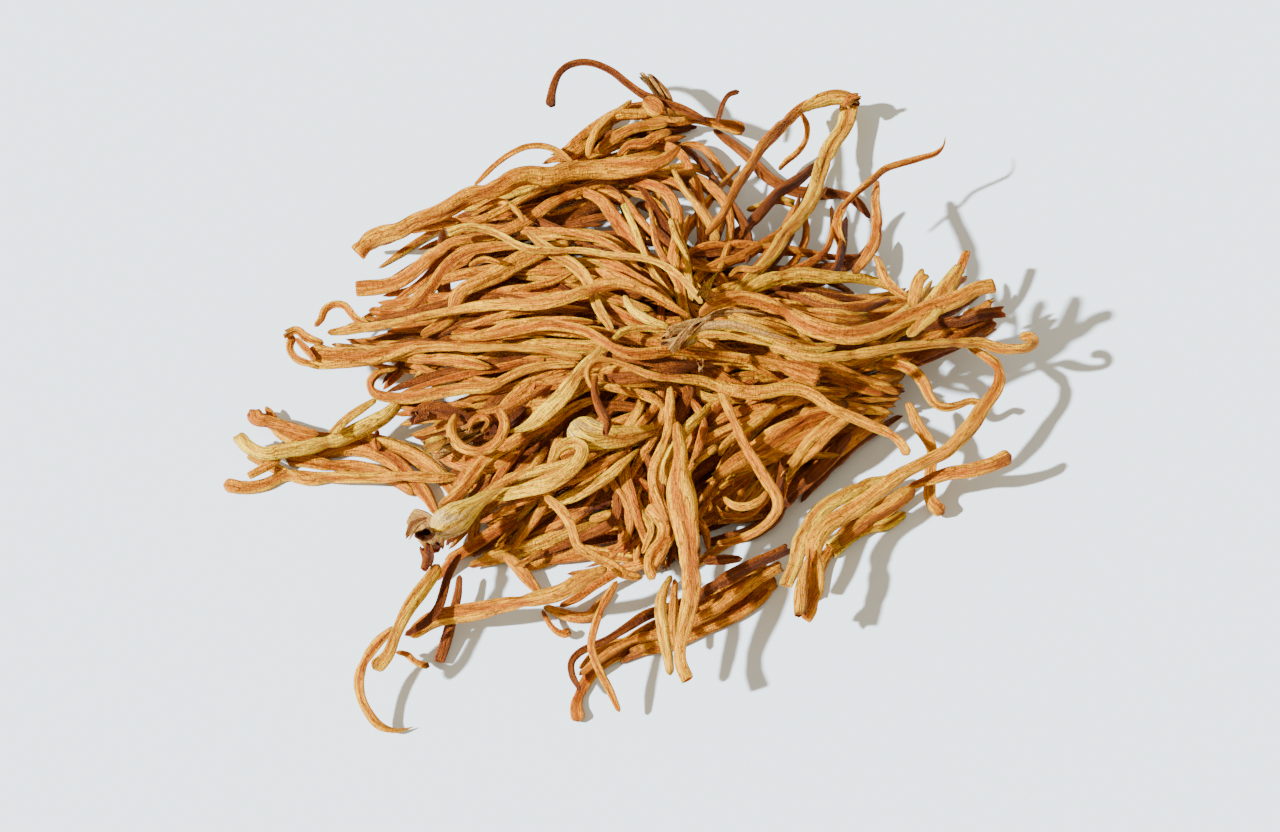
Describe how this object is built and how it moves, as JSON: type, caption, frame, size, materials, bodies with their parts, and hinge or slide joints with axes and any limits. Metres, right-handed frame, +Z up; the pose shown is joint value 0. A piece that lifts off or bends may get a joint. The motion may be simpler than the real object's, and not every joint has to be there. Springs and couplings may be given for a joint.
{
  "type": "dried cordyceps",
  "caption": "Tangled clump of long, thin, shrivelled orange-yellow dried cordyceps strands, with pale papery bases, lying on a flat underside.",
  "frame": {"origin": "on the clump's flat underside, near the middle of the clump", "axes": "+Z up from the surface that the clump lies on; +X to the clump's right and +Y to its back, as seen from its front, where the broad leg and the low bundle reach out"},
  "size_m": [0.1344, 0.1297, 0.0276],
  "materials": {
    "pale_straw": "pale straw, dry, fine lengthways wrinkles, satin",
    "golden": "golden yellow, dry and leathery, lengthways wrinkles, satin",
    "amber": "amber orange, dry, wrinkled, slightly waxy",
    "rust_brown": "deep orange-brown, dry, wrinkled, slightly waxy",
    "papery_base": "whitish beige, papery, matte"
  },
  "bodies": {
    "root": {"inner_strands": "rust_brown", "left_low_orange": "amber", "left_low_long": "golden", "left_ribbon": "pale_straw", "front_bundle_lower": "amber", "front_bundle_middle": "amber", "front_bundle_upper": "rust_brown", "right_flared": "pale_straw", "right_blunt": "golden", "right_hooked_branch": "golden", "right_pale_foot": "pale_straw", "top_right_dark": "rust_brown", "top_bright": "golden", "top_arch": "golden", "top_under_long": "amber", "left_open_end": "amber", "left_under_curve": "amber", "left_broad_rise": "golden", "long_thick_top": "golden", "top_knot": "papery_base", "hook_top": "rust_brown", "loop_rising": "amber", "loop_pale": "pale_straw", "shoulder_pale": "pale_straw", "shoulder_riser": "amber", "right_thin_tip": "amber", "right_fan_tip": "amber", "right_dark_end": "rust_brown", "inner_orange_long": "rust_brown", "inner_amber_long": "amber", "inner_split_tip": "golden", "left_slope": "golden", "front_left_base": "papery_base", "left_ring_base": "papery_base", "blunt_club": "pale_straw", "front_left_hook": "pale_straw", "twisted_pair": "golden", "tail_black_tip": "rust_brown", "tail_flat": "golden", "tail_dark_arc": "rust_brown", "tail_curl": "golden", "tail_long": "pale_straw", "leg_upper_left": "golden", "leg_broad": "golden", "leg_thin_front": "golden", "left_lower_loop": "golden", "left_fat": "golden", "pale_blade": "pale_straw", "crown_left_pale": "pale_straw", "left_long_upper": "golden", "middle_long": "golden", "crown_base": "papery_base", "crown_lower_right": "pale_straw", "crown_upper_right": "golden", "right_big_loop": "golden", "right_curled_tip": "golden", "crown_front_bow": "golden", "long_across": "golden", "pale_long_top": "pale_straw"}
  },
  "joints": []
}
